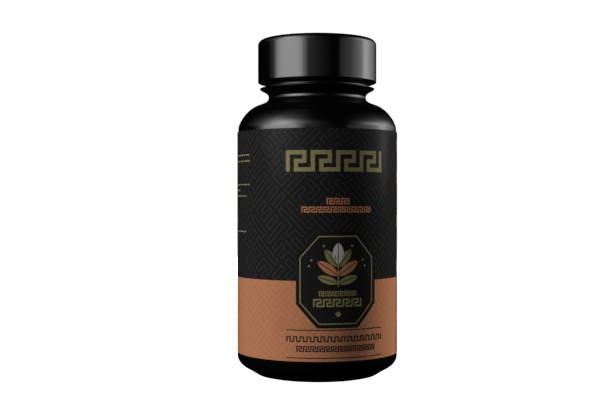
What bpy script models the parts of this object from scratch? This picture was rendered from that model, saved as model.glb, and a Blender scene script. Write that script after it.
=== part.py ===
"""A supplement bottle with a screw cap: moulded bottle, cap, sealing liner and wrap label.

Metres, +Z up. The origin is on the bottle's axis, on the surface that it stands on. The label's
printed front faces -Y and its two ends meet at +Y.
"""

from math import cos, pi, radians, sin

import bmesh
import bpy
from mathutils import Vector

MM = 0.001

# How finely round shapes are cut up
SEGMENTS = 56
SMOOTH_ANGLE = radians(35)
WELD = 1e-6

# Driving dimensions
OVERALL_HEIGHT = 135.0 * MM
CAP_RADIUS = 24.0 * MM
CAP_HEIGHT = 17.5 * MM
BODY_RADIUS = 32.0 * MM
LABEL_RADIUS = 32.35 * MM
LABEL_BOTTOM = 9.3 * MM
LABEL_TOP = 97.6 * MM
CLEARANCE = 0.3 * MM  # between pieces that touch in the real object

# Bottle
WALL = 1.1 * MM
NECK_RADIUS = 20.85 * MM
BORE_RADIUS = 18.3 * MM
NECK_FOOT_RADIUS = 20.5 * MM  # the neck draws in towards the flange, and meets it in a round
NECK_FOOT_TOP_Z = 118.2 * MM
ROOT_ROUND = 0.95 * MM
ROOT_ROUND_Z = 116.26 * MM
FLANGE_RADIUS = 23.25 * MM
FLANGE_TIP_Z = 115.25 * MM
WAIST_RADIUS = 19.72 * MM
WAIST_Z = 111.78 * MM
SHOULDER_TOP_RADIUS = 23.95 * MM
SHOULDER_TOP_Z = 108.5 * MM
SHOULDER_BOTTOM_Z = 98.9 * MM
PANEL_DEPTH = 0.1 * MM  # how far the label's panel is set into the body
HEEL_RADIUS = 32.35 * MM  # stands out as far as the label, which it protects
HEEL_TOP_Z = 8.3 * MM
HEEL_SLANT = radians(31)
SLANT_TOP_RADIUS = 27.2 * MM
SLANT_TOP_Z = 2.12 * MM
FOOT_RADIUS = 24.2 * MM
RING_OUTER_RADIUS = 22.8 * MM
RING_INNER_RADIUS = 20.6 * MM
PUSH_UP_HEIGHT = 2.2 * MM

# Cap
CAP_WALL = 1.65 * MM
CAP_TOP_THICKNESS = 1.8 * MM
CAP_TOP_ROUND = 2.1 * MM
CAP_BOTTOM_INWARDS = 1.1 * MM  # how far its bottom edge's round reaches inwards
CAP_BOTTOM_UPWARDS = 0.5 * MM
LINER_THICKNESS = 0.8 * MM
LINER_SIDE_GAP = 0.45 * MM

# Screw thread: single start, right-hand, six turns to the inch
PITCH = 25.4 / 6 * MM
BOTTLE_THREAD_TOP_Z = 129.6 * MM
BOTTLE_THREAD_DEPTH = 1.15 * MM
BOTTLE_THREAD_WIDTH = 1.7 * MM
BOTTLE_THREAD_TURNS = 1.5
CAP_THREAD_DEPTH = 1.1 * MM
CAP_THREAD_WIDTH = 1.45 * MM
CAP_THREAD_TURNS = 1.25
THREAD_ROOT = 0.6 * MM  # how far a thread reaches into the wall that it grows from
THREAD_FADE = 0.125  # the part of a turn over which each end of a thread dies away

# Label
LABEL_THICKNESS = 0.15 * MM
LABEL_END_GAP = 1.5 * MM  # between the label's two ends, at the back

# Heights that follow from the sizes above
CAP_BOTTOM = OVERALL_HEIGHT - CAP_HEIGHT
CAP_INNER_TOP = OVERALL_HEIGHT - CAP_TOP_THICKNESS
CAP_INNER_RADIUS = CAP_RADIUS - CAP_WALL
LINER_TOP = CAP_INNER_TOP - CLEARANCE
LINER_BOTTOM = LINER_TOP - LINER_THICKNESS
BOTTLE_TOP = LINER_BOTTOM - CLEARANCE


def clear_scene():
    for thing in list(bpy.data.objects):
        bpy.data.objects.remove(thing, do_unlink=True)


def make_material(name, color, roughness, metallic=0.0):
    material = bpy.data.materials.new(name)
    material.use_nodes = True
    shader = material.node_tree.nodes["Principled BSDF"]
    shader.inputs["Base Color"].default_value = (*color, 1.0)
    shader.inputs["Roughness"].default_value = roughness
    shader.inputs["Metallic"].default_value = metallic
    return material


def add_object(name, bm, material):
    """Turns a finished bmesh into a named object, shaded smooth between its sharp edges."""
    bmesh.ops.remove_doubles(bm, verts=bm.verts, dist=WELD)
    bmesh.ops.recalc_face_normals(bm, faces=bm.faces)
    mesh = bpy.data.meshes.new(name)
    bm.to_mesh(mesh)
    bm.free()
    mesh.materials.append(material)
    mesh.shade_smooth()
    mesh.set_sharp_from_angle(angle=SMOOTH_ANGLE)
    piece = bpy.data.objects.new(name, mesh)
    bpy.context.scene.collection.objects.link(piece)
    return piece


def curve(start, start_handle, end_handle, end, steps):
    """Points along a Bezier curve between two (radius, height) points, both ends included."""
    points = []
    for i in range(steps + 1):
        t = i / steps
        s = 1 - t
        weights = (s**3, 3 * s * s * t, 3 * s * t * t, t**3)
        corners = (start, start_handle, end_handle, end)
        points.append(tuple(sum(w * p[k] for w, p in zip(weights, corners)) for k in (0, 1)))
    return points


def rounded(center, radius, first_angle, last_angle, steps):
    """Points along an arc in the (radius, height) plane, angles in degrees from outwards."""
    points = []
    for i in range(steps + 1):
        angle = radians(first_angle + (last_angle - first_angle) * i / steps)
        points.append((center[0] + radius * cos(angle), center[1] + radius * sin(angle)))
    return points


def turn_outline(outline, closed):
    """Turns a (radius, height) outline round the Z axis into a shell."""
    bm = bmesh.new()
    verts = [bm.verts.new((r, 0.0, z)) for r, z in outline]
    edges = [bm.edges.new(pair) for pair in zip(verts, verts[1:])]
    if closed:
        edges.append(bm.edges.new((verts[-1], verts[0])))
    bmesh.ops.spin(
        bm,
        geom=verts + edges,
        cent=(0, 0, 0),
        axis=(0, 0, 1),
        angle=2 * pi,
        steps=SEGMENTS,
        use_merge=True,
    )
    return bm


def bottle_outside():
    """The bottle's outer side, from the sealing land at the top to the middle of its base."""
    land_round = 0.4 * MM
    lip_round = 0.2 * MM
    points = [(BORE_RADIUS, BOTTLE_TOP)]
    points += rounded((NECK_RADIUS - land_round, BOTTLE_TOP - land_round), land_round, 90, 0, 2)
    points.append((NECK_RADIUS, NECK_FOOT_TOP_Z))
    points += rounded((NECK_FOOT_RADIUS + ROOT_ROUND, ROOT_ROUND_Z), ROOT_ROUND, 168, 245, 2)
    points += rounded((FLANGE_RADIUS - lip_round, FLANGE_TIP_Z), lip_round, 80, -60, 2)
    # The hollow waist: in under the flange, then out on to the shoulder
    lip_end = points[-1]
    points += curve(
        lip_end,
        (lip_end[0] - 1.1 * MM, lip_end[1] - 0.95 * MM),
        (WAIST_RADIUS, WAIST_Z + 2.0 * MM),
        (WAIST_RADIUS, WAIST_Z),
        4,
    )[1:]
    points += curve(
        (WAIST_RADIUS, WAIST_Z),
        (WAIST_RADIUS, WAIST_Z - 1.85 * MM),
        (SHOULDER_TOP_RADIUS - 2.15 * MM, SHOULDER_TOP_Z + 0.82 * MM),
        (SHOULDER_TOP_RADIUS, SHOULDER_TOP_Z),
        4,
    )[1:]
    points += curve(
        (SHOULDER_TOP_RADIUS, SHOULDER_TOP_Z),
        (SHOULDER_TOP_RADIUS + 4.5 * MM, SHOULDER_TOP_Z - 1.4 * MM),
        (BODY_RADIUS, SHOULDER_BOTTOM_Z + 2.5 * MM),
        (BODY_RADIUS, SHOULDER_BOTTOM_Z),
        7,
    )[1:]
    # The label's panel, set in a little, and the rounded heel under it
    points.append((BODY_RADIUS - PANEL_DEPTH, SHOULDER_BOTTOM_Z - 0.3 * MM))
    points.append((BODY_RADIUS - PANEL_DEPTH, HEEL_TOP_Z + 0.3 * MM))
    slant_reach = 2.2 * MM
    points += curve(
        (HEEL_RADIUS, HEEL_TOP_Z),
        (HEEL_RADIUS, HEEL_TOP_Z - 3.9 * MM),
        (
            SLANT_TOP_RADIUS + slant_reach * cos(HEEL_SLANT),
            SLANT_TOP_Z + slant_reach * sin(HEEL_SLANT),
        ),
        (SLANT_TOP_RADIUS, SLANT_TOP_Z),
        6,
    )
    # The foot, the standing ring and the pushed-up middle
    slant_drop = (SLANT_TOP_RADIUS - FOOT_RADIUS) * sin(HEEL_SLANT) / cos(HEEL_SLANT)
    points.append((FOOT_RADIUS, SLANT_TOP_Z - slant_drop))
    points.append((RING_OUTER_RADIUS, 0.0))
    points.append((RING_INNER_RADIUS, 0.0))
    points += curve(
        (RING_INNER_RADIUS - 0.4 * MM, 0.5 * MM),
        (RING_INNER_RADIUS - 1.2 * MM, 1.5 * MM),
        (RING_INNER_RADIUS * 0.5, PUSH_UP_HEIGHT),
        (0.0, PUSH_UP_HEIGHT),
        3,
    )
    return points


def bottle_inside():
    """The bottle's inner side, from the middle of its base up to the bore."""
    floor = PUSH_UP_HEIGHT + WALL
    radius = BODY_RADIUS - PANEL_DEPTH - WALL
    points = curve(
        (0.0, floor),
        (RING_INNER_RADIUS * 0.5, floor),
        (RING_INNER_RADIUS - 2.4 * MM, floor - 1.4 * MM),
        (RING_INNER_RADIUS + 0.6 * MM, WALL + 0.2 * MM),
        3,
    )
    points.append((RING_OUTER_RADIUS + 0.6 * MM, WALL + 0.4 * MM))
    points += curve(
        (SLANT_TOP_RADIUS - WALL / 2, SLANT_TOP_Z + WALL),
        (SLANT_TOP_RADIUS + 2.0 * MM, SLANT_TOP_Z + WALL + 1.5 * MM),
        (radius, HEEL_TOP_Z - 2.6 * MM),
        (radius, HEEL_TOP_Z),
        3,
    )
    points += curve(
        (radius, SHOULDER_BOTTOM_Z),
        (radius, SHOULDER_BOTTOM_Z + 2.5 * MM),
        (SHOULDER_TOP_RADIUS + 3.8 * MM, SHOULDER_TOP_Z - 2.4 * MM),
        (SHOULDER_TOP_RADIUS - 0.4 * MM, SHOULDER_TOP_Z - 1.1 * MM),
        4,
    )
    points += curve(
        (SHOULDER_TOP_RADIUS - 0.4 * MM, SHOULDER_TOP_Z - 1.1 * MM),
        (SHOULDER_TOP_RADIUS - 2.8 * MM, SHOULDER_TOP_Z - 0.3 * MM),
        (BORE_RADIUS, WAIST_Z - 2.9 * MM),
        (BORE_RADIUS, WAIST_Z - 1.0 * MM),
        3,
    )[1:]
    return points


def thread_ridge(name, root_radius, crest_radius, width, top_z, turns, material):
    """A helical ridge whose ends die away, for a union with the wall that it grows from."""
    steps = round(turns * SEGMENTS)
    crest_width = width * 0.45
    section_heights = (-width / 2, -crest_width / 2, crest_width / 2, width / 2)
    bm = bmesh.new()
    rings = []
    for i in range(steps + 1):
        turn = turns * i / steps
        fade = min(1.0, turn / THREAD_FADE, (turns - turn) / THREAD_FADE)
        crest = root_radius + (crest_radius - root_radius) * (0.25 + 0.75 * fade)
        angle = -2 * pi * turn
        middle = top_z - PITCH * turn
        ring = []
        for radius, offset in zip((root_radius, crest, crest, root_radius), section_heights):
            ring.append(bm.verts.new((radius * cos(angle), radius * sin(angle), middle + offset)))
        rings.append(ring)
    for ring, following in zip(rings, rings[1:]):
        for k in range(4):
            n = (k + 1) % 4
            bm.faces.new((ring[k], ring[n], following[n], following[k]))
    bm.faces.new(rings[0])
    bm.faces.new(rings[-1])
    ridge = add_object(name, bm, material)
    ridge.hide_render = True
    ridge.display_type = "WIRE"
    return ridge


def join_ridge(piece, ridge):
    union = piece.modifiers.new("Thread", "BOOLEAN")
    union.operation = "UNION"
    union.solver = "EXACT"
    union.object = ridge


def make_bottle(material):
    outline = bottle_outside() + bottle_inside()
    bottle = add_object("bottle", turn_outline(outline, closed=True), material)
    ridge = thread_ridge(
        "bottle_thread_guide",
        NECK_RADIUS - THREAD_ROOT,
        NECK_RADIUS + BOTTLE_THREAD_DEPTH,
        BOTTLE_THREAD_WIDTH,
        BOTTLE_THREAD_TOP_Z,
        BOTTLE_THREAD_TURNS,
        material,
    )
    join_ridge(bottle, ridge)
    return bottle


def make_cap(material):
    top, inwards, upwards = CAP_TOP_ROUND, CAP_BOTTOM_INWARDS, CAP_BOTTOM_UPWARDS
    outline = [(0.0, OVERALL_HEIGHT)]
    outline += rounded((CAP_RADIUS - top, OVERALL_HEIGHT - top), top, 90, 0, 3)
    outline += curve(
        (CAP_RADIUS, CAP_BOTTOM + upwards),
        (CAP_RADIUS, CAP_BOTTOM + upwards * 0.45),
        (CAP_RADIUS - inwards * 0.55, CAP_BOTTOM),
        (CAP_RADIUS - inwards, CAP_BOTTOM),
        2,
    )
    outline.append((CAP_INNER_RADIUS + 0.1 * MM, CAP_BOTTOM))
    outline.append((CAP_INNER_RADIUS, CAP_BOTTOM + 0.3 * MM))
    outline.append((CAP_INNER_RADIUS, CAP_INNER_TOP))
    outline.append((0.0, CAP_INNER_TOP))
    cap = add_object("cap", turn_outline(outline, closed=True), material)
    ridge = thread_ridge(
        "cap_thread_guide",
        CAP_INNER_RADIUS + THREAD_ROOT,
        CAP_INNER_RADIUS - CAP_THREAD_DEPTH,
        CAP_THREAD_WIDTH,
        BOTTLE_THREAD_TOP_Z - PITCH / 2,
        CAP_THREAD_TURNS,
        material,
    )
    join_ridge(cap, ridge)
    return cap


def make_liner(material):
    radius = CAP_INNER_RADIUS - LINER_SIDE_GAP
    outline = [(0.0, LINER_TOP), (radius, LINER_TOP), (radius, LINER_BOTTOM), (0.0, LINER_BOTTOM)]
    return add_object("liner", turn_outline(outline, closed=False), material)


def make_label(material):
    """A thin band bent round the body, open at the back where its two ends meet."""
    end_angle = pi / 2 + LABEL_END_GAP / LABEL_RADIUS / 2
    direction = Vector((cos(end_angle), sin(end_angle), 0.0))
    up = Vector((0.0, 0.0, 1.0))
    inner = LABEL_RADIUS - LABEL_THICKNESS
    bm = bmesh.new()
    corners = [
        direction * radius + up * z
        for radius, z in (
            (inner, LABEL_BOTTOM),
            (LABEL_RADIUS, LABEL_BOTTOM),
            (LABEL_RADIUS, LABEL_TOP),
            (inner, LABEL_TOP),
        )
    ]
    first = bm.faces.new([bm.verts.new(corner) for corner in corners])
    bmesh.ops.spin(
        bm,
        geom=[first],
        cent=(0, 0, 0),
        axis=(0, 0, 1),
        angle=2 * pi - LABEL_END_GAP / LABEL_RADIUS,
        steps=SEGMENTS,
        use_merge=False,
    )
    return add_object("label", bm, material)


def main():
    clear_scene()
    black_gloss = make_material("black_gloss_plastic", (0.006, 0.006, 0.006), 0.16)
    bottle_black = make_material("bottle_black_plastic", (0.006, 0.006, 0.006), 0.2)
    liner_white = make_material("liner_foam", (0.75, 0.74, 0.71), 0.7)
    label_film = make_material("label_film", (0.3, 0.16, 0.1), 0.4)
    make_bottle(bottle_black)
    make_cap(black_gloss)
    make_liner(liner_white)
    make_label(label_film)


main()
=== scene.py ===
from math import atan2, cos, floor, pi, radians, sin, sqrt, tau
from random import Random

import bmesh
import bpy
from mathutils import Matrix, Vector
from mathutils.geometry import interpolate_bezier


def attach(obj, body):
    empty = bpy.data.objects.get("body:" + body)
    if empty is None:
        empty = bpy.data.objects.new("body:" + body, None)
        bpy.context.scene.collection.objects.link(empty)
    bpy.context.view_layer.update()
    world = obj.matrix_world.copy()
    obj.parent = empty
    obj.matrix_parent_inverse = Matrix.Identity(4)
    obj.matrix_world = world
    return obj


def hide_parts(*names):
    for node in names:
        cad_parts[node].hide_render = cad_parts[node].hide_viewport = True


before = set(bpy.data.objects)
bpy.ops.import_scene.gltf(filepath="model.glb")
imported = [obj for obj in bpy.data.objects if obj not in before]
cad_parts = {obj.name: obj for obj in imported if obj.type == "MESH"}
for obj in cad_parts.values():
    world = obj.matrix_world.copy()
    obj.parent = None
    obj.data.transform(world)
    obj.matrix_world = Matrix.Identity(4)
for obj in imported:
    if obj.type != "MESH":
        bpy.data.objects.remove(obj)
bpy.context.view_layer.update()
print("frame loaded:", ", ".join(sorted(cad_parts)))

mm = 0.001
shape = {
    "turnSteps": 224,  # how finely round pieces are cut up
    "sharpAngle": radians(32),
    "weld": 0.0005 * mm,
    "cutSlack": 0.0001 * mm,  # corners this near a cut are taken as on it
}


def newMaterial(name):
    material = bpy.data.materials.new(name)
    material.use_nodes = True
    nodes = material.node_tree.nodes
    return material, nodes, material.node_tree.links, nodes["Principled BSDF"]


def noiseNode(nodes, links, scale, detail):
    # noise on the piece's own coordinates; scale counts features per metre
    place = nodes.new("ShaderNodeTexCoord")
    noise = nodes.new("ShaderNodeTexNoise")
    noise.inputs["Scale"].default_value = scale
    noise.inputs["Detail"].default_value = detail
    links.new(place.outputs["Object"], noise.inputs["Vector"])
    return noise.outputs["Fac"]


def rangeNode(nodes, links, value, low, high, fromLow=0.3, fromHigh=0.7):
    spread = nodes.new("ShaderNodeMapRange")
    spread.inputs["From Min"].default_value = fromLow
    spread.inputs["From Max"].default_value = fromHigh
    spread.inputs["To Min"].default_value = low
    spread.inputs["To Max"].default_value = high
    links.new(value, spread.inputs["Value"])
    return spread.outputs["Result"]


def mixColors(nodes, links, factor, first, second):
    mix = nodes.new("ShaderNodeMix")
    mix.data_type = "RGBA"
    mix.inputs["A"].default_value = (*first, 1)
    mix.inputs["B"].default_value = (*second, 1)
    links.new(factor, mix.inputs["Factor"])
    return mix.outputs["Result"]


def bumpNode(nodes, links, height, distance, normal=None):
    bump = nodes.new("ShaderNodeBump")
    bump.inputs["Distance"].default_value = distance
    links.new(height, bump.inputs["Height"])
    if normal is not None:
        links.new(normal, bump.inputs["Normal"])
    return bump.outputs["Normal"]


def mathNode(nodes, links, operation, first, second=None):
    node = nodes.new("ShaderNodeMath")
    node.operation = operation
    for socket, value in zip(node.inputs, (first, second)):
        if isinstance(value, (int, float)):
            socket.default_value = value
        elif value is not None:
            links.new(value, socket)
    return node.outputs["Value"]


def finishPiece(name, bm, materials, body):
    # weld, turn the faces outwards, shade smooth between sharp edges, ride on the body
    bmesh.ops.remove_doubles(bm, verts=bm.verts, dist=shape["weld"])
    bmesh.ops.recalc_face_normals(bm, faces=bm.faces)
    mesh = bpy.data.meshes.new(name)
    bm.to_mesh(mesh)
    bm.free()
    for material in materials:
        mesh.materials.append(material)
    mesh.shade_smooth()
    mesh.set_sharp_from_angle(angle=shape["sharpAngle"])
    piece = bpy.data.objects.new(name, mesh)
    bpy.context.scene.collection.objects.link(piece)
    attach(piece, body)
    return piece


def bezierPoints(start, startHandle, endHandle, end, steps):
    corners = [Vector((r, z, 0)) for r, z in (start, startHandle, endHandle, end)]
    return [(p.x, p.y) for p in interpolate_bezier(*corners, steps + 1)]


def arcPoints(center, radius, firstAngle, lastAngle, steps):
    points = []
    for i in range(steps + 1):
        angle = radians(firstAngle + (lastAngle - firstAngle) * i / steps)
        points.append((center[0] + radius * cos(angle), center[1] + radius * sin(angle)))
    return points


def turnOutline(outline, closed):
    # a (radius, height) outline in metres, spun round the Z axis
    bm = bmesh.new()
    verts = [bm.verts.new((r, 0, z)) for r, z in outline]
    ends = verts[1:] + verts[:1] if closed else verts[1:]
    edges = [bm.edges.new(pair) for pair in zip(verts, ends)]
    bmesh.ops.spin(
        bm, geom=verts + edges, cent=(0, 0, 0), axis=(0, 0, 1),
        angle=tau, steps=shape["turnSteps"], use_merge=True,
    )
    return bm


camera = {
    "azimuth": -14.3,  # degrees round the bottle from its label's front
    "distance": 442 * mm,
    "height": 70 * mm,
    "aimLeft": 0.903,  # degrees; the bottle stands right of the picture's middle
    "aimDown": 0.084,
    "lens": 65.22,  # in mm, as the sensor's width is
    "sensor": 36,
    "clipStart": 10 * mm,
}

studio = {
    # brightness round the object, by degrees from the camera to the viewer's right
    "ring": (
        (-106, 0.0), (-92, 0.4), (-88, 1.6), (-79, 4.8), (-64, 6.2), (-38, 6.5), (-30, 5.2),
        (-26, 2.6), (-21, 1.9), (-18, 0.45), (0, 0.2), (16, 0.08), (30, 0.01), (41, 0.01),
        (47, 0.4), (66, 0.8), (84, 1.8), (96, 2.5), (102, 4.3), (109, 4.2), (123, 1.9),
        (138, 0.68), (146, 0.34), (156, 0.06), (164, 0.0),
    ),
    # the same for the panels' upper part, which has softer edges
    "upperRing": (
        (-130, 0.0), (-120, 0.05), (-110, 0.15), (-100, 0.5), (-90, 1.1), (-80, 2.7), (-70, 5.2),
        (-60, 7.2), (-50, 7.8), (-40, 5.8), (-30, 3.2), (-20, 1.5), (-10, 0.57), (0, 0.22),
        (10, 0.12), (20, 0.03), (32, 0.01), (42, 0.01), (50, 0.15), (60, 0.47), (70, 1.2),
        (80, 2.4), (90, 3.6), (100, 4.1), (110, 3.65), (120, 2.6), (130, 1.2), (140, 0.36),
        (150, 0.06), (160, 0.0),
    ),
    "upperFrom": (radians(9), radians(12)),  # between these heights the first gives way to it
    # share of that brightness by degrees above the horizon
    "rise": (
        (0.0, 0.0), (1.6, 0.3), (2.6, 0.6), (3.2, 1.0), (24, 1.0), (30, 0.95), (36, 0.8),
        (42, 0.45), (48, 0.21), (54, 0.105), (60, 0.062), (66, 0.03), (72, 0.017), (78, 0.008),
        (86, 0.0),
    ),
    # how much lower the panels' top edge lies, by the same degrees as the ring
    "lean": (
        (-180, 0.88), (-80, 0.88), (-60, 1.0), (30, 1.0), (50, 1.3), (60, 1.25), (70, 1.35),
        (80, 1.4), (100, 1.55), (120, 1.67), (130, 1.85), (145, 2.0), (180, 2.0),
    ),
    # share of it that is left under the sill, where flags narrow the panels, by degrees again
    "sill": (
        (-180, 0.1), (-86, 0.1), (-76, 0.3), (-64, 0.9), (-58, 1.0), (-48, 1.0), (-40, 0.6),
        (-30, 0.45), (-20, 0.85), (0, 1.0), (90, 1.0), (104, 0.85), (112, 0.78), (124, 0.15),
        (180, 0.1),
    ),
    "sillHeight": (radians(3.7), radians(4.3)),
    "floorSize": 3.0,
    "floorDrop": 0.05 * mm,  # keeps it from lying in the plane of the standing ring
    "floorColor": (0.9, 0.9, 0.9),
    "white": 1.05,  # how bright the floor and the background are to the camera
    # lamps for the matt colours only, which the panels leave alone; same degrees as the ring
    "lamps": (
        {"azimuth": -62, "power": 9.5},
        {"azimuth": 20, "power": 1.2},
        {"azimuth": 114, "power": 12.3},
        {"azimuth": 181, "power": 4.0},
    ),
    "lampHeight": 250 * mm,
    "lampDistance": 900 * mm,
    "lampSize": 300 * mm,
    "lampAim": 60 * mm,  # the height on the bottle's axis that they point at
}


def addCamera():
    lens = bpy.data.cameras.new("camera")
    lens.lens = camera["lens"]
    lens.sensor_width = camera["sensor"]
    lens.clip_start = camera["clipStart"]
    eye = bpy.data.objects.new("camera", lens)
    turn = radians(camera["azimuth"])
    eye.location = (
        camera["distance"] * sin(turn), -camera["distance"] * cos(turn), camera["height"],
    )
    eye.rotation_euler = (
        radians(90 - camera["aimDown"]), 0, turn + radians(camera["aimLeft"]),
    )
    bpy.context.scene.collection.objects.link(eye)
    bpy.context.scene.camera = eye


def profileNode(nodes, links, value, stops, span):
    # a profile over degrees: value is an angle in radians, -span..span degrees
    peak = max(level for degrees, level in stops)
    place = rangeNode(nodes, links, value, 0, 1, -radians(span), radians(span))
    ramp = nodes.new("ShaderNodeValToRGB")
    links.new(place, ramp.inputs["Fac"])
    elements = ramp.color_ramp.elements
    while len(elements) > 1:
        elements.remove(elements[0])
    for i, (degrees, level) in enumerate(stops):
        position = 0.5 + degrees / span / 2
        element = elements[0] if i == 0 else elements.new(position)
        element.position = position
        element.color = (level / peak,) * 3 + (1,)
    return mathNode(nodes, links, "MULTIPLY", ramp.outputs["Color"], peak)


def addStudioLight():
    # soft light panels left and right, drawn by direction; the camera itself sees plain white
    world = bpy.data.worlds.new("studio")
    world.use_nodes = True
    bpy.context.scene.world = world
    nodes, links = world.node_tree.nodes, world.node_tree.links
    coordinates = nodes.new("ShaderNodeTexCoord")
    turned = nodes.new("ShaderNodeVectorRotate")
    turned.rotation_type = "Z_AXIS"
    turned.inputs["Angle"].default_value = -radians(camera["azimuth"])
    axes = nodes.new("ShaderNodeSeparateXYZ")
    links.new(coordinates.outputs["Generated"], turned.inputs["Vector"])
    links.new(turned.outputs["Vector"], axes.inputs["Vector"])
    towardsCamera = mathNode(nodes, links, "MULTIPLY", axes.outputs["Y"], -1)
    azimuth = mathNode(nodes, links, "ARCTAN2", axes.outputs["X"], towardsCamera)
    elevation = mathNode(nodes, links, "ARCSINE", axes.outputs["Z"])
    lowerRing = profileNode(nodes, links, azimuth, studio["ring"], 180)
    upperRing = profileNode(nodes, links, azimuth, studio["upperRing"], 180)
    upper = rangeNode(nodes, links, elevation, 0, 1, *studio["upperFrom"])
    lower = mathNode(nodes, links, "SUBTRACT", 1, upper)
    ring = mathNode(
        nodes, links, "ADD", mathNode(nodes, links, "MULTIPLY", lowerRing, lower),
        mathNode(nodes, links, "MULTIPLY", upperRing, upper),
    )
    lean = profileNode(nodes, links, azimuth, studio["lean"], 180)
    leaned = mathNode(nodes, links, "MULTIPLY", elevation, lean)
    rise = profileNode(nodes, links, leaned, studio["rise"], 90)
    sill = profileNode(nodes, links, azimuth, studio["sill"], 180)
    overSill = rangeNode(nodes, links, elevation, 0, 1, *studio["sillHeight"])
    flagged = mathNode(nodes, links, "MAXIMUM", sill, overSill)
    panels = mathNode(nodes, links, "MULTIPLY", ring, rise)
    light = nodes["Background"]
    light.inputs["Color"].default_value = (1, 1, 1, 1)
    links.new(mathNode(nodes, links, "MULTIPLY", panels, flagged), light.inputs["Strength"])
    backdrop = nodes.new("ShaderNodeBackground")
    backdrop.inputs["Color"].default_value = (1, 1, 1, 1)
    backdrop.inputs["Strength"].default_value = studio["white"]
    rays = nodes.new("ShaderNodeLightPath")
    choice = nodes.new("ShaderNodeMixShader")
    links.new(rays.outputs["Is Camera Ray"], choice.inputs["Fac"])
    links.new(light.outputs["Background"], choice.inputs[1])
    links.new(backdrop.outputs["Background"], choice.inputs[2])
    links.new(choice.outputs["Shader"], nodes["World Output"].inputs["Surface"])
    world.cycles_visibility.diffuse = False
    bpy.context.scene.view_settings.view_transform = "Standard"


def addLamps():
    target = Vector((0, 0, studio["lampAim"]))
    for i, spec in enumerate(studio["lamps"]):
        lamp = bpy.data.lights.new(f"lamp_{i}", "AREA")
        lamp.size = studio["lampSize"]
        lamp.energy = spec["power"]
        stand = bpy.data.objects.new(f"lamp_{i}", lamp)
        turn = radians(camera["azimuth"] + spec["azimuth"])
        away = studio["lampDistance"]
        place = Vector((away * sin(turn), -away * cos(turn), studio["lampHeight"]))
        stand.location = place
        stand.rotation_euler = (target - place).to_track_quat("-Z", "Y").to_euler()
        stand.visible_glossy = False
        stand.visible_camera = False
        bpy.context.scene.collection.objects.link(stand)


def addFloor():
    # a plain white ground that doesn't mirror in the gloss of the bottle
    bm = bmesh.new()
    bmesh.ops.create_grid(
        bm, x_segments=1, y_segments=1, size=studio["floorSize"] / 2,
        matrix=Matrix.Translation((0, 0, -studio["floorDrop"])),
    )
    mesh = bpy.data.meshes.new("floor")
    bm.to_mesh(mesh)
    bm.free()
    sweep = bpy.data.objects.new("floor", mesh)
    bpy.context.scene.collection.objects.link(sweep)
    material, *_, shader = newMaterial("white_floor")
    shader.inputs["Base Color"].default_value = (*studio["floorColor"], 1)
    shader.inputs["Emission Color"].default_value = (1, 1, 1, 1)
    shader.inputs["Emission Strength"].default_value = studio["white"]
    mesh.materials.append(material)
    sweep.visible_glossy = False
    sweep.visible_diffuse = False


addCamera()
addStudioLight()
addLamps()
addFloor()
print("studio ready")


def mouldedPlastic(name, look):
    material, nodes, links, shader = newMaterial(name)
    cloud = noiseNode(nodes, links, look["cloudScale"], 4)
    links.new(
        mixColors(nodes, links, cloud, look["darkColor"], look["lightColor"]),
        shader.inputs["Base Color"],
    )
    links.new(
        rangeNode(nodes, links, cloud, look["roughnessLow"], look["roughnessHigh"]),
        shader.inputs["Roughness"],
    )
    wave = noiseNode(nodes, links, look["waveScale"], 1)
    grain = noiseNode(nodes, links, look["grainScale"], 2)
    swell = bumpNode(nodes, links, wave, look["waveHeight"])
    links.new(
        bumpNode(nodes, links, grain, look["grainHeight"], normal=swell), shader.inputs["Normal"],
    )
    shader.inputs["IOR"].default_value = 1.5
    shader.inputs["Specular IOR Level"].default_value = look.get("specular", 0.5)
    return material


capBlack = mouldedPlastic("cap_black_gloss", {
    "darkColor": (0.0008, 0.0008, 0.0008),
    "lightColor": (0.0014, 0.0014, 0.0015),
    "cloudScale": 90,
    "roughnessLow": 0.085,
    "roughnessHigh": 0.115,
    "waveScale": 60,
    "waveHeight": 0.002 * mm,
    "grainScale": 2600,
    "grainHeight": 0.0002 * mm,
})
bottleBlack = mouldedPlastic("bottle_black_gloss", {
    "darkColor": (0.0008, 0.0008, 0.0008),
    "lightColor": (0.0016, 0.0016, 0.0017),
    "cloudScale": 70,
    "roughnessLow": 0.135,
    "roughnessHigh": 0.165,
    "waveScale": 45,
    "waveHeight": 0.004 * mm,
    "grainScale": 1800,
    "grainHeight": 0.0003 * mm,
})
# painted shade: the grooves under the cap, under the flange and at the foot of the waist are
# duller and reflect almost nothing, so they stay dark as if shaded
grooveShadeBlack = mouldedPlastic("bottle_black_painted_groove_shade", {
    "darkColor": (0.0008, 0.0008, 0.0008),
    "lightColor": (0.0016, 0.0016, 0.0017),
    "cloudScale": 70,
    "roughnessLow": 0.3,
    "roughnessHigh": 0.36,
    "waveScale": 45,
    "waveHeight": 0.004 * mm,
    "grainScale": 1800,
    "grainHeight": 0.0006 * mm,
    "specular": 0.03,
})

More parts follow.
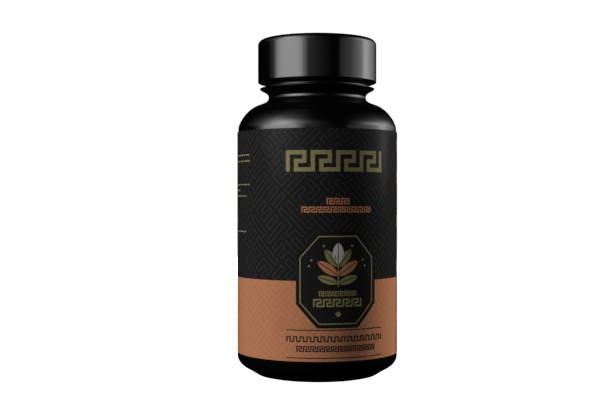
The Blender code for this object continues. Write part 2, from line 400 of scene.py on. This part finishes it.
bottle = {
    "top": 131.8 * mm,
    "wall": 1.1 * mm,
    "neckRadius": 20.85 * mm,
    "boreRadius": 18.3 * mm,
    "landRound": 0.4 * mm,
    "flangeRadius": 23.25 * mm,
    "flangeTip": 115.25 * mm,
    "lipRound": 0.2 * mm,
    "neckFoot": 20.5 * mm,  # the neck draws in towards the flange, and meets it in a round
    "neckFootTop": 118.2 * mm,
    "rootRound": 0.95 * mm,
    "rootHeight": 116.26 * mm,
    "rootArc": (168, 245),  # degrees from outwards, as the lip's are
    "lipArc": (80, -60),
    # points of the outline as radius and height, and how far the handles of the curves that
    # meet there stand off them
    "waist": (19.72 * mm, 111.78 * mm),
    "shoulderTop": (23.95 * mm, 108.5 * mm),
    "shoulderBottom": (32.0 * mm, 98.9 * mm),
    "lipHandle": (-1.1 * mm, -0.95 * mm),
    "waistHandles": ((0, 2.0 * mm), (0, -1.85 * mm)),
    "shoulderTopHandles": ((-2.15 * mm, 0.82 * mm), (4.5 * mm, -1.4 * mm)),
    "shoulderBottomHandle": (0, 2.5 * mm),
    # the label's panel, set in a little between soft edges; its top edge is under the label
    "panelTop": 96.4 * mm,
    "panelDepth": 0.1 * mm,
    "panelEdge": 0.3 * mm,
    "heelTop": (32.35 * mm, 8.3 * mm),
    "heelHandle": (0, -3.9 * mm),
    "slantTop": (27.2 * mm, 2.12 * mm),
    "slantAngle": radians(31),
    "slantReach": 2.2 * mm,
    "footRadius": 24.2 * mm,
    "ringOuter": 22.8 * mm,
    "ringInner": 20.6 * mm,
    "pushUp": 2.2 * mm,
    # where the push-up's curve starts and has its first handle, from the ring's inner edge
    "pushUpStart": (-0.4 * mm, 0.5 * mm),
    "pushUpHandle": (-1.2 * mm, 1.5 * mm),
    # how far points and handles of the inside stand off the points that they go by
    "inside": {
        "dishHandle": (-2.4 * mm, -1.4 * mm),
        "dishEdge": (0.6 * mm, 0.2 * mm),
        "ringEdge": (0.6 * mm, 0.4 * mm),
        "heelHandles": ((2.0 * mm, 1.5 * mm), (0, -2.6 * mm)),
        "shoulderHandle": (0, 2.5 * mm),
        "throat": (-0.4 * mm, -1.1 * mm),
        "throatHandles": ((3.8 * mm, -2.4 * mm), (-2.8 * mm, -0.3 * mm)),
        "boreHandle": (0, -2.9 * mm),
        "boreStart": (0, -1.0 * mm),
    },
    # the outside gets the dull painted-shade finish between these heights; faces nearer the axis
    # than this are the bore's
    "shadedGrooves": ((106.7 * mm, 110.35 * mm), (112.85 * mm, 115.05 * mm), (116.4 * mm, 118.2 * mm)),
    "shadedGrooveRadius": 19.5 * mm,
}

thread = {
    "pitch": 25.4 / 6 * mm,
    "topHeight": 129.6 * mm,
    "root": 0.6 * mm,  # how far it reaches into the wall
    "crestShare": 0.45,  # of its width
    "fade": 0.125,  # the part of a turn over which each end dies away
    "endShare": 0.25,  # of its depth, where it ends
    "stepsPerTurn": 112,
    "bottle": {"depth": 1.15 * mm, "width": 1.7 * mm, "turns": 1.5},
    "cap": {"depth": 1.1 * mm, "width": 1.45 * mm, "turns": 1.25},
}


def shifted(point, shift):
    return (point[0] + shift[0], point[1] + shift[1])


def bottleOutside():
    b = bottle
    land, lip, root = b["landRound"], b["lipRound"], b["rootRound"]
    points = [(b["boreRadius"], b["top"])]
    points += arcPoints((b["neckRadius"] - land, b["top"] - land), land, 90, 0, 5)
    points.append((b["neckRadius"], b["neckFootTop"]))
    points += arcPoints((b["neckFoot"] + root, b["rootHeight"]), root, *b["rootArc"], 12)
    points += arcPoints((b["flangeRadius"] - lip, b["flangeTip"]), lip, *b["lipArc"], 9)
    underLip, waist = points[-1], b["waist"]
    shoulderTop, shoulderBottom = b["shoulderTop"], b["shoulderBottom"]
    aboveWaist, belowWaist = b["waistHandles"]
    insideTop, outsideTop = b["shoulderTopHandles"]
    points += bezierPoints(
        underLip, shifted(underLip, b["lipHandle"]), shifted(waist, aboveWaist), waist, 20,
    )[1:]
    points += bezierPoints(
        waist, shifted(waist, belowWaist), shifted(shoulderTop, insideTop), shoulderTop, 20,
    )[1:]
    points += bezierPoints(
        shoulderTop, shifted(shoulderTop, outsideTop),
        shifted(shoulderBottom, b["shoulderBottomHandle"]), shoulderBottom, 26,
    )[1:]
    bodyRadius, edge = shoulderBottom[0], b["panelEdge"]
    heelTop, slantTop = b["heelTop"], b["slantTop"]
    points.append((bodyRadius, b["panelTop"] + 2 * edge))
    points.append((bodyRadius, b["panelTop"]))
    points.append((bodyRadius - b["panelDepth"], b["panelTop"] - edge))
    points.append((bodyRadius - b["panelDepth"], heelTop[1] + edge))
    slant = (cos(b["slantAngle"]), sin(b["slantAngle"]))
    slantHandle = (b["slantReach"] * slant[0], b["slantReach"] * slant[1])
    points += bezierPoints(
        heelTop, shifted(heelTop, b["heelHandle"]), shifted(slantTop, slantHandle), slantTop, 20,
    )
    slantDrop = (slantTop[0] - b["footRadius"]) * slant[1] / slant[0]
    points.append((b["footRadius"], slantTop[1] - slantDrop))
    points.append((b["ringOuter"], 0))
    ringEdge = (b["ringInner"], 0)
    points.append(ringEdge)
    points += bezierPoints(
        shifted(ringEdge, b["pushUpStart"]), shifted(ringEdge, b["pushUpHandle"]),
        (b["ringInner"] / 2, b["pushUp"]), (0, b["pushUp"]), 14,
    )
    return points


def bottleInside():
    # runs about a wall's thickness behind the outside, in softer curves
    b, shifts, wall = bottle, bottle["inside"], bottle["wall"]
    dish = (b["ringInner"], b["pushUp"] + wall)
    points = bezierPoints(
        (0, dish[1]), (dish[0] / 2, dish[1]), shifted(dish, shifts["dishHandle"]),
        shifted((b["ringInner"], wall), shifts["dishEdge"]), 8,
    )
    points.append(shifted((b["ringOuter"], wall), shifts["ringEdge"]))
    radius = b["shoulderBottom"][0] - b["panelDepth"] - wall
    slantTop, heelTop = shifted(b["slantTop"], (0, wall)), (radius, b["heelTop"][1])
    lowHandle, highHandle = shifts["heelHandles"]
    points += bezierPoints(
        shifted(slantTop, (-wall / 2, 0)), shifted(slantTop, lowHandle),
        shifted(heelTop, highHandle), heelTop, 8,
    )
    shoulder, shoulderTop = (radius, b["shoulderBottom"][1]), b["shoulderTop"]
    throat = shifted(shoulderTop, shifts["throat"])
    outerHandle, innerHandle = shifts["throatHandles"]
    points += bezierPoints(
        shoulder, shifted(shoulder, shifts["shoulderHandle"]),
        shifted(shoulderTop, outerHandle), throat, 10,
    )
    waist = (b["boreRadius"], b["waist"][1])
    points += bezierPoints(
        throat, shifted(shoulderTop, innerHandle),
        shifted(waist, shifts["boreHandle"]), shifted(waist, shifts["boreStart"]), 8,
    )[1:]
    return points


def threadRidge(rootRadius, crestRadius, width, topHeight, turns):
    # a helical ridge: its section is spun and lowered step by step, then its ends are faded
    bm = bmesh.new()
    crestHalf, endShare = width * thread["crestShare"] / 2, thread["endShare"]
    section = (
        (rootRadius, -width / 2), (crestRadius, -crestHalf), (crestRadius, crestHalf),
        (rootRadius, width / 2),
    )
    face = bm.faces.new([bm.verts.new((r, 0, topHeight + dz)) for r, dz in section])
    steps = round(turns * thread["stepsPerTurn"])
    bmesh.ops.spin(
        bm, geom=[face], cent=(0, 0, 0), axis=(0, 0, 1), angle=-turns * tau, steps=steps,
        dvec=(0, 0, -thread["pitch"] * turns / steps), use_merge=False,
    )
    for vert in bm.verts:
        part = (-atan2(vert.co.y, vert.co.x) / tau) % 1
        turn = part + round((topHeight - vert.co.z) / thread["pitch"] - part)
        fade = max(0, min(1, turn / thread["fade"], (turns - turn) / thread["fade"]))
        radius = sqrt(vert.co.x ** 2 + vert.co.y ** 2)
        faded = rootRadius + (radius - rootRadius) * (endShare + (1 - endShare) * fade)
        vert.co.xy *= faded / radius
    bmesh.ops.recalc_face_normals(bm, faces=bm.faces)
    return bm


def joinedWith(bm, addition):
    # the Boolean union of two closed shells, as a new bmesh
    shells = []
    for name, shell in (("base", bm), ("addition", addition)):
        bmesh.ops.remove_doubles(shell, verts=shell.verts, dist=shape["weld"])
        bmesh.ops.recalc_face_normals(shell, faces=shell.faces)
        mesh = bpy.data.meshes.new(name)
        shell.to_mesh(mesh)
        shell.free()
        thing = bpy.data.objects.new(name, mesh)
        bpy.context.scene.collection.objects.link(thing)
        shells.append(thing)
    union = shells[0].modifiers.new("union", "BOOLEAN")
    union.operation = "UNION"
    union.solver = "EXACT"
    union.object = shells[1]
    result = bmesh.new()
    result.from_object(shells[0], bpy.context.evaluated_depsgraph_get())
    for thing in shells:
        bpy.data.objects.remove(thing, do_unlink=True)
    return result


def makeBottle():
    body = turnOutline(bottleOutside() + bottleInside(), closed=True)
    spec = thread["bottle"]
    ridge = threadRidge(
        bottle["neckRadius"] - thread["root"], bottle["neckRadius"] + spec["depth"],
        spec["width"], thread["topHeight"], spec["turns"],
    )
    shell = joinedWith(body, ridge)
    # faces in the grooves, outside the bore, take the dull finish that paints shade there
    for face in shell.faces:
        middle = face.calc_center_median()
        inShadedGroove = any(low < middle.z < high for low, high in bottle["shadedGrooves"])
        face.material_index = int(inShadedGroove and middle.xy.length > bottle["shadedGrooveRadius"])
    materials = [bottleBlack, grooveShadeBlack]
    piece = finishPiece("moulded_bottle", shell, materials, "bottle")
    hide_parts("bottle")


cap = {
    "top": 135.0 * mm,
    "bottom": 117.5 * mm,
    "radius": 24.0 * mm,
    "topRound": 2.1 * mm,
    "sideRing": 0.1 * mm,  # from each end of the straight side to its extra ring
    "bottomRound": (1.1 * mm, 0.5 * mm),  # how far it reaches inwards and upwards
    "bottomHandles": (0.55, 0.45),  # as shares of the same
    "mouthBevel": (0.1 * mm, 0.3 * mm),
    "innerRadius": 22.35 * mm,
    "innerTop": 133.2 * mm,
}


def makeCap():
    c = cap
    top, (inwards, upwards) = c["topRound"], c["bottomRound"]
    inShare, upShare = c["bottomHandles"]
    outline = [(0, c["top"])]
    outline += arcPoints((c["radius"] - top, c["top"] - top), top, 90, 0, 14)
    # an extra ring near each end of the straight side keeps its shading straight
    outline.append((c["radius"], c["top"] - top - c["sideRing"]))
    outline.append((c["radius"], c["bottom"] + upwards + c["sideRing"]))
    outline += bezierPoints(
        (c["radius"], c["bottom"] + upwards),
        (c["radius"], c["bottom"] + upwards * upShare),
        (c["radius"] - inwards * inShare, c["bottom"]),
        (c["radius"] - inwards, c["bottom"]),
        10,
    )
    bevelIn, bevelUp = c["mouthBevel"]
    outline.append((c["innerRadius"] + bevelIn, c["bottom"]))
    outline.append((c["innerRadius"], c["bottom"] + bevelUp))
    outline.append((c["innerRadius"], c["innerTop"]))
    outline.append((0, c["innerTop"]))
    spec = thread["cap"]
    ridge = threadRidge(
        c["innerRadius"] + thread["root"], c["innerRadius"] - spec["depth"],
        spec["width"], thread["topHeight"] - thread["pitch"] / 2, spec["turns"],
    )
    shell = joinedWith(turnOutline(outline, closed=False), ridge)
    piece = finishPiece("screw_cap", shell, [capBlack], "cap")
    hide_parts("cap")


makeBottle()
makeCap()
print("bottle and cap moulded")


liner = {
    "radius": 21.9 * mm,
    "top": 132.9 * mm,
    "bottom": 132.1 * mm,
    "edgeRound": 0.15 * mm,
    "look": {
        "darkColor": (0.70, 0.69, 0.65),
        "lightColor": (0.80, 0.79, 0.76),
        "roughness": 0.75,
        "cellScale": 2200,
        "cellHeight": 0.02 * mm,
    },
}


def foamMaterial():
    look = liner["look"]
    material, nodes, links, shader = newMaterial("liner_foam")
    cells = noiseNode(nodes, links, look["cellScale"], 3)
    links.new(
        mixColors(nodes, links, cells, look["darkColor"], look["lightColor"]),
        shader.inputs["Base Color"],
    )
    links.new(bumpNode(nodes, links, cells, look["cellHeight"]), shader.inputs["Normal"])
    shader.inputs["Roughness"].default_value = look["roughness"]
    return material


def makeLiner():
    spec = liner
    edge = spec["edgeRound"]
    outline = [(0, spec["top"])]
    outline += arcPoints((spec["radius"] - edge, spec["top"] - edge), edge, 90, 0, 3)
    outline += arcPoints((spec["radius"] - edge, spec["bottom"] + edge), edge, 0, -90, 3)
    outline.append((0, spec["bottom"]))
    bm = turnOutline(outline, closed=False)
    piece = finishPiece("sealing_liner", bm, [foamMaterial()], "liner")
    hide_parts("liner")


makeLiner()
print("liner cut")


# The label and its print are drawn flat, x along the wrap from the front's middle and y up,
# and then bent round the body. All are cut at the same places, so that they stay parallel.
label = {
    "radius": 32.35 * mm,
    "bottom": 9.3 * mm,
    "top": 97.6 * mm,
    "thickness": 0.15 * mm,
    "endGap": 1.5 * mm,
    "cornerRound": 1.6 * mm,
    "colorLine": 39.75 * mm,  # black above, copper below
    "cutStep": 1.5 * mm,
    "printDepth": 0.04 * mm,
}
label["halfWidth"] = pi * label["radius"] - label["endGap"] / 2

# all inks lie under one clear satin film
inks = {
    "film": ((0.0098, 0.0098, 0.0098), (0.0116, 0.0116, 0.0116)),
    "filmLine": ((0.026, 0.026, 0.026), (0.031, 0.031, 0.031)),
    "copper": ((0.35, 0.143, 0.071), (0.38, 0.155, 0.077)),
    "copperLine": ((0.26, 0.118, 0.065), (0.29, 0.132, 0.073)),
    "gold": ((0.18, 0.156, 0.071), (0.2, 0.174, 0.079)),
    "grey": ((0.34, 0.34, 0.32), (0.4, 0.4, 0.38)),
    "dark": ((0.012, 0.012, 0.012), (0.016, 0.015, 0.015)),
}
filmLook = {
    "roughness": 0.13,
    "unevenness": 0.02,
    "specular": 0.03,
    "cloudScale": 160,
    "grainScale": 3000,
    "grainHeight": 0.0002 * mm,
}


def inkMaterial(name, darker, lighter):
    material, nodes, links, shader = newMaterial("label_" + name)
    cloud = noiseNode(nodes, links, filmLook["cloudScale"], 4)
    links.new(mixColors(nodes, links, cloud, darker, lighter), shader.inputs["Base Color"])
    rough, uneven = filmLook["roughness"], filmLook["unevenness"]
    links.new(
        rangeNode(nodes, links, cloud, rough - uneven, rough + uneven), shader.inputs["Roughness"],
    )
    grain = noiseNode(nodes, links, filmLook["grainScale"], 2)
    links.new(bumpNode(nodes, links, grain, filmLook["grainHeight"]), shader.inputs["Normal"])
    shader.inputs["Specular IOR Level"].default_value = filmLook["specular"]
    return material


inkMaterials = {name: inkMaterial(name, *colors) for name, colors in inks.items()}


def inkFaces(verts, index):
    faces = list(dict.fromkeys(face for vert in verts for face in vert.link_faces))
    for face in faces:
        face.material_index = index
    return faces


def addRect(bm, left, right, low, high, index=0):
    place = Matrix.Translation(((left + right) / 2, (low + high) / 2, 0))
    place = place @ Matrix.Diagonal((right - left, high - low, 1, 1))
    made = bmesh.ops.create_grid(bm, x_segments=1, y_segments=1, size=0.5, matrix=place)
    inkFaces(made["verts"], index)


def cutAt(bm, point, normal, clearOuter=False):
    bmesh.ops.bisect_plane(
        bm, geom=bm.verts[:] + bm.edges[:] + bm.faces[:], dist=shape["cutSlack"],
        plane_co=point, plane_no=normal, clear_outer=clearOuter,
    )


def bendRound(bm, topDepth, thickness):
    # flat faces get their cuts and their thickness, and are bent round the body
    steps = floor(label["halfWidth"] / label["cutStep"])
    left = min(vert.co.x for vert in bm.verts)
    right = max(vert.co.x for vert in bm.verts)
    for i in range(-steps, steps + 1):
        if left < i * label["cutStep"] < right:
            cutAt(bm, (i * label["cutStep"], 0, 0), (1, 0, 0))
    grown = bmesh.ops.extrude_face_region(bm, geom=bm.faces[:], use_keep_orig=True)
    fresh = [item for item in grown["geom"] if isinstance(item, bmesh.types.BMVert)]
    bmesh.ops.translate(bm, verts=fresh, vec=(0, 0, -thickness))
    for vert in bm.verts:
        angle = vert.co.x / label["radius"]
        radius = label["radius"] + topDepth + vert.co.z
        vert.co = (radius * sin(angle), -radius * cos(angle), vert.co.y)


def makeLabelFilm():
    bm = bmesh.new()
    addRect(bm, -label["halfWidth"], label["halfWidth"], label["bottom"], label["top"])
    bmesh.ops.bevel(
        bm, geom=bm.verts[:], offset=label["cornerRound"], offset_type="OFFSET", segments=5,
        profile=0.5, affect="VERTICES", material=-1,
    )
    cutAt(bm, (0, label["colorLine"], 0), (0, 1, 0))
    for face in bm.faces:
        face.material_index = int(face.calc_center_median().y < label["colorLine"])
    bendRound(bm, 0, label["thickness"])
    piece = finishPiece(
        "label_film", bm, [inkMaterials["film"], inkMaterials["copper"]], "bottle",
    )
    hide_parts("label")


makeLabelFilm()
print("label film wrapped")


fret = {
    "seed": 11,
    "pitch": 3.88 * mm,  # between the middles of neighbouring strokes
    "lineWidth": 0.3 * mm,
    "lengths": (2, 3, 3, 4, 4, 5),
    "straightOn": 0.45,  # chance that a stroke goes on without a bend
    "joinLone": 0.85,  # chance that a stroke of one node is joined to a neighbour
    "margin": 0.15 * mm,  # bare at the label's edges
    "height": 0.02 * mm,  # above the film
}


def fretCells(count, rng):
    # splits a square lattice of nodes into short bent strokes; cells lie on and between nodes
    steps = ((1, 0), (0, 1), (-1, 0), (0, -1))
    free = {(i, j) for i in range(count) for j in range(count)}
    cells = {(2 * i, 2 * j) for i, j in free}
    starts = sorted(free)
    rng.shuffle(starts)
    for start in starts:
        if start not in free:
            continue
        free.discard(start)
        here, ahead, turns, size = start, None, 0, 1
        for _ in range(rng.choice(fret["lengths"]) - 1):
            options = [s for s in steps if (here[0] + s[0], here[1] + s[1]) in free]
            if turns == 2:
                options = [s for s in options if s == ahead]
            if not options:
                break
            goesOn = ahead in options and rng.random() < fret["straightOn"]
            step = ahead if goesOn else rng.choice(options)
            turns += int(ahead is not None and step != ahead)
            cells.add((2 * here[0] + step[0], 2 * here[1] + step[1]))
            here, ahead = (here[0] + step[0], here[1] + step[1]), step
            free.discard(here)
            size += 1
        if size == 1 and rng.random() < fret["joinLone"]:
            inside = range(count)
            step = rng.choice([
                s for s in steps if start[0] + s[0] in inside and start[1] + s[1] in inside
            ])
            cells.add((2 * start[0] + step[0], 2 * start[1] + step[1]))
    return cells


def makeFret():
    # outlined strokes on a square lattice that is turned by 45 degrees
    pitch, line = fret["pitch"], fret["lineWidth"]
    height = label["top"] - label["bottom"]
    count = int((2 * label["halfWidth"] + height) / sqrt(2) / pitch) + 2
    columns = 2 * count - 1
    cells = fretCells(count, Random(fret["seed"]))
    bm = bmesh.new()
    bmesh.ops.create_grid(bm, x_segments=columns, y_segments=columns, size=columns / 2)
    ground = []
    for face in bm.faces:
        at = face.calc_center_median()
        if (floor(at.x + columns / 2), floor(at.y + columns / 2)) not in cells:
            ground.append(face)
    bmesh.ops.delete(bm, geom=ground, context="FACES")
    # cells of the strokes are a line wider than the gaps between them
    stroke = pitch / 2 + line
    for vert in bm.verts:
        for axis in (0, 1):
            index = round(vert.co[axis] + columns / 2)
            vert.co[axis] = (index // 2 - count / 2) * pitch + (index % 2) * stroke
    rims = bmesh.ops.inset_region(
        bm, faces=bm.faces[:], thickness=line, use_even_offset=True, use_boundary=True,
    )["faces"]
    kept = set(rims)
    bmesh.ops.delete(bm, geom=[face for face in bm.faces if face not in kept], context="FACES")
    place = Matrix.Translation((0, (label["bottom"] + label["top"]) / 2, 0))
    place = place @ Matrix.Rotation(pi / 4, 4, "Z")
    bmesh.ops.transform(bm, matrix=place, verts=bm.verts)
    side, margin = label["halfWidth"] - fret["margin"], fret["margin"]
    cutAt(bm, (side, 0, 0), (1, 0, 0), clearOuter=True)
    cutAt(bm, (-side, 0, 0), (-1, 0, 0), clearOuter=True)
    cutAt(bm, (0, label["top"] - margin, 0), (0, 1, 0), clearOuter=True)
    cutAt(bm, (0, label["bottom"] + margin, 0), (0, -1, 0), clearOuter=True)
    cutAt(bm, (0, label["colorLine"], 0), (0, 1, 0))
    for face in bm.faces:
        face.material_index = int(face.calc_center_median().y < label["colorLine"])
    bendRound(bm, fret["height"], label["printDepth"])
    lineInks = [inkMaterials["filmLine"], inkMaterials["copperLine"]]
    finishPiece("label_fret", bm, lineInks, "bottle")


makeFret()
print("fret printed")


plaque = {
    "halfWidth": 16.2 * mm,
    "bottom": 21.9 * mm,
    "top": 58.2 * mm,
    "cornerCut": 0.5,  # of the half width and half height
    "border": 1.4 * mm,  # from its edge to the line inside it
    "keyline": 0.45 * mm,
    "height": 0.035 * mm,  # above the film
}
sidePanel = {"left": 35.3 * mm, "right": 76.0 * mm, "margin": 0.02 * mm}


def addPlaque(bm, inset, index):
    # an eight-sided panel: a rectangle whose corners are cut off
    halfHeight = (plaque["top"] - plaque["bottom"]) / 2
    before = set(bm.verts)
    bmesh.ops.create_grid(bm, x_segments=1, y_segments=1, size=1)
    corners = [vert for vert in bm.verts if vert not in before]
    bmesh.ops.bevel(
        bm, geom=corners, offset=plaque["cornerCut"], offset_type="OFFSET", segments=1,
        profile=0.5, affect="VERTICES", material=-1,
    )
    verts = [vert for vert in bm.verts if vert not in before]
    place = Matrix.Translation((0, (plaque["top"] + plaque["bottom"]) / 2, 0))
    place = place @ Matrix.Diagonal((plaque["halfWidth"], halfHeight, 1, 1))
    bmesh.ops.transform(bm, matrix=place, verts=verts)
    faces = inkFaces(verts, index)
    if inset:
        # only a thin line is kept, at this distance inside the edge
        bmesh.ops.delete(
            bm, geom=bmesh.ops.inset_region(
                bm, faces=faces, thickness=inset, use_even_offset=True, use_boundary=True,
            )["faces"], context="FACES",
        )
        line = bmesh.ops.inset_region(
            bm, faces=faces, thickness=plaque["keyline"], use_even_offset=True, use_boundary=True,
        )["faces"]
        for face in line:
            face.material_index = index
        bmesh.ops.delete(bm, geom=faces, context="FACES")


def makePanels():
    bm = bmesh.new()
    addPlaque(bm, 0, 0)
    side = sidePanel
    addRect(
        bm, side["left"], side["right"],
        label["bottom"] + side["margin"], label["top"] - side["margin"],
    )
    bendRound(bm, plaque["height"], label["printDepth"] + plaque["height"])
    finishPiece("label_panels", bm, [inkMaterials["film"]], "bottle")


makePanels()
print("panels printed")


# paths of running ornaments, in cells; each path ends where its next repeat starts
ornament = {
    "key": {"path": ((0, 0), (0, 4), (4, 4), (4, 2), (2, 2), (2, 0), (6, 0)), "rows": 5},
    "wave": {"path": ((0, 0), (0, 4), (3, 4), (3, 0), (6, 0)), "rows": 5},
}
goldInk, copperInk, greyInk, darkInk = range(4)
bands = (
    {"kind": "key", "repeats": 4, "unit": 1.616 * mm, "at": (0, 85.15 * mm), "ink": goldInk},
    {"kind": "key", "repeats": 3, "unit": 0.48 * mm, "at": (0, 69.9 * mm), "ink": copperInk},
    {"kind": "key", "repeats": 10, "unit": 0.46 * mm, "at": (0, 66.75 * mm), "ink": copperInk},
    {"kind": "key", "repeats": 6, "unit": 0.4 * mm, "at": (0, 35.0 * mm), "ink": goldInk},
    {"kind": "key", "repeats": 5, "unit": 0.62 * mm, "at": (0, 31.5 * mm), "ink": goldInk},
    {"kind": "wave", "repeats": 15, "unit": 0.44 * mm, "at": (0, 17.8 * mm), "ink": darkInk},
    {"kind": "key", "repeats": 12, "unit": 0.44 * mm, "at": (0, 14.1 * mm), "ink": darkInk},
)
sprig = {
    "stem": {"halfWidth": 0.2 * mm, "bottom": 37.6 * mm, "top": 46.0 * mm},
    "midrib": 0.3 * mm,
    "taper": 0.6,
    # base height, degrees from upright, length and width; sidewards ones are paired
    "leaves": (
        (46.2 * mm, 0, 8.0 * mm, 4.4 * mm, greyInk),
        (45.0 * mm, 38, 8.4 * mm, 3.4 * mm, goldInk),
        (41.8 * mm, 56, 9.6 * mm, 3.6 * mm, copperInk),
        (38.8 * mm, 72, 8.4 * mm, 3.0 * mm, goldInk),
    ),
    "leafSteps": 32,
    "dots": ((10.2, 47.6), (11.2, 45.4), (5.6, 53.0)),  # across and up in mm, paired
    "dotRadius": 0.42 * mm,
    "dotSteps": 14,
    "diamond": (27.2 * mm, 1.3 * mm),  # height and radius
}
printed = {
    "seed": 5,
    "height": 0.05 * mm,  # above the film
    "ruleHeights": (21.2 * mm, 10.65 * mm),
    "ruleHalfWidth": 20.0 * mm,
    "ruleThickness": 0.35 * mm,
    "dashHeight": 0.5 * mm,
    "dashGap": 0.6 * mm,
    "dashLengths": (0.9, 4.2),  # in mm, the shortest and the longest
    # rows of short gold dashes at the left: height and where each ends along the wrap, in mm
    "leftRows": (
        (88.0, -38.9), (85.6, -38.3), (76.4, -38.9), (74.2, -48.0), (71.9, -41.2), (62.5, -51.0),
        (58.0, -41.5),
    ),
    "leftStart": -74.0,
    # copper marks on the side panel: lower and upper end in mm; each has rows of dashes beside it
    "marks": ((89.5, 94.5), (77.3, 81.9), (59.4, 64.5), (41.5, 46.1), (20.4, 25.6)),
    "markSpan": (36.2 * mm, 39.5 * mm),
    "markRows": (0.2, 0.8),  # as shares of the mark's height
    "rightSpan": (42.5 * mm, 72.0 * mm),
}
table = {
    "left": -98.0 * mm,
    "right": -78.5 * mm,
    "bottom": 50.0 * mm,
    "top": 90.0 * mm,
    "rows": 9,
    "line": 0.3 * mm,
    "indent": 1.4 * mm,
    # shortest and longest dash at the left and at the right of a row, in mm
    "leftLengths": (4, 9),
    "rightLengths": (2, 4),
}


def addBand(bm, band):
    # the cells of a running ornament, with one more upright stroke to close it
    kind = ornament[band["kind"]]
    advance = kind["path"][-1][0]
    cells = set()
    for k in range(band["repeats"] + 1):
        path = kind["path"] if k < band["repeats"] else kind["path"][:2]
        for (x, y), (toX, toY) in zip(path, path[1:]):
            length = max(abs(toX - x), abs(toY - y))
            for s in range(length + 1):
                cells.add((k * advance + x + (toX - x) * s // length, y + (toY - y) * s // length))
    columns, rows, unit = band["repeats"] * advance + 1, kind["rows"], band["unit"]
    place = Matrix.Translation((*band["at"], 0))
    place = place @ Matrix.Diagonal((columns * unit, rows * unit, 1, 1))
    made = bmesh.ops.create_grid(bm, x_segments=columns, y_segments=rows, size=0.5, matrix=place)
    blank = []
    for face in inkFaces(made["verts"], band["ink"]):
        at = face.calc_center_median()
        column = floor((at.x - band["at"][0]) / unit + columns / 2)
        row = floor((at.y - band["at"][1]) / unit + rows / 2)
        if (column, row) not in cells:
            blank.append(face)
    bmesh.ops.delete(bm, geom=blank, context="FACES")


def addLeaf(bm, base, angle, length, width, index):
    # two halves of a pointed oval, with a bare midrib between them
    for side in (-1, 1):
        before = set(bm.verts)
        verts = bmesh.ops.create_circle(
            bm, cap_ends=True, segments=sprig["leafSteps"], radius=1,
        )["verts"]
        for vert in verts:
            x, y = vert.co.x, vert.co.y
            vert.co = (x * abs(x) ** sprig["taper"] * width / 2, (y + 1) / 2 * length, 0)
        faces = inkFaces(verts, index)
        edges = list(dict.fromkeys(edge for face in faces for edge in face.edges))
        bmesh.ops.bisect_plane(
            bm, geom=verts + edges + faces, dist=shape["cutSlack"],
            plane_co=(side * sprig["midrib"] / 2, 0, 0), plane_no=(side, 0, 0), clear_inner=True,
        )
        place = Matrix.Translation((0, base, 0)) @ Matrix.Rotation(-radians(angle), 4, "Z")
        fresh = [vert for vert in bm.verts if vert not in before]
        bmesh.ops.transform(bm, matrix=place, verts=fresh)


def addSprig(bm):
    stem = sprig["stem"]
    addRect(bm, -stem["halfWidth"], stem["halfWidth"], stem["bottom"], stem["top"], goldInk)
    for base, angle, length, width, ink in sprig["leaves"]:
        for side in ((0,) if angle == 0 else (-1, 1)):
            addLeaf(bm, base, angle * side, length, width, ink)
    for across, up in sprig["dots"]:
        for side in (-1, 1):
            made = bmesh.ops.create_circle(
                bm, cap_ends=True, segments=sprig["dotSteps"], radius=sprig["dotRadius"],
                matrix=Matrix.Translation((side * across * mm, up * mm, 0)),
            )
            inkFaces(made["verts"], goldInk)
    height, radius = sprig["diamond"]
    made = bmesh.ops.create_circle(
        bm, cap_ends=True, segments=4, radius=radius, matrix=Matrix.Translation((0, height, 0)),
    )
    inkFaces(made["verts"], goldInk)


def addDash(bm, start, end, height):
    half = printed["dashHeight"] / 2
    addRect(bm, start, end, height - half, height + half, goldInk)


def addDashes(bm, rng, span, height):
    # a row of dashes of uneven length, from its right end to its left
    start, place = span
    while place > start:
        length = rng.uniform(*printed["dashLengths"]) * mm
        addDash(bm, max(start, place - length), place, height)
        place -= length + printed["dashGap"]


def addTable(bm, rng):
    # a ruled frame with a dash at the left and at the right of each row
    line, left, right = table["line"], table["left"], table["right"]
    step = (table["top"] - table["bottom"]) / table["rows"]
    first, last = left + table["indent"], right - table["indent"]
    for i in range(table["rows"] + 1):
        height = table["bottom"] + i * step
        addRect(bm, left, right, height - line / 2, height + line / 2, goldInk)
        if i < table["rows"]:
            middle = height + step / 2
            addDash(bm, first, first + rng.uniform(*table["leftLengths"]) * mm, middle)
            addDash(bm, last - rng.uniform(*table["rightLengths"]) * mm, last, middle)
    for side in (left, right):
        for i in range(table["rows"]):
            low = table["bottom"] + i * step + line / 2
            addRect(bm, side - line / 2, side + line / 2, low, low + step - line, goldInk)


def makePrint():
    rng = Random(printed["seed"])
    bm = bmesh.new()
    for band in bands:
        addBand(bm, band)
    addPlaque(bm, plaque["border"], goldInk)
    addSprig(bm)
    half, reach = printed["ruleThickness"] / 2, printed["ruleHalfWidth"]
    for height in printed["ruleHeights"]:
        addRect(bm, -reach, reach, height - half, height + half, darkInk)
    for height, end in printed["leftRows"]:
        addDashes(bm, rng, (printed["leftStart"] * mm, end * mm), height * mm)
    for low, high in printed["marks"]:
        addRect(bm, *printed["markSpan"], low * mm, high * mm, copperInk)
        for share in printed["markRows"]:
            addDashes(bm, rng, printed["rightSpan"], (low + (high - low) * share) * mm)
    addTable(bm, rng)
    bendRound(bm, printed["height"], label["printDepth"] + printed["height"])
    finishPiece(
        "label_print", bm, [inkMaterials[name] for name in ("gold", "copper", "grey", "dark")],
        "bottle",
    )


makePrint()
print("ornament printed")
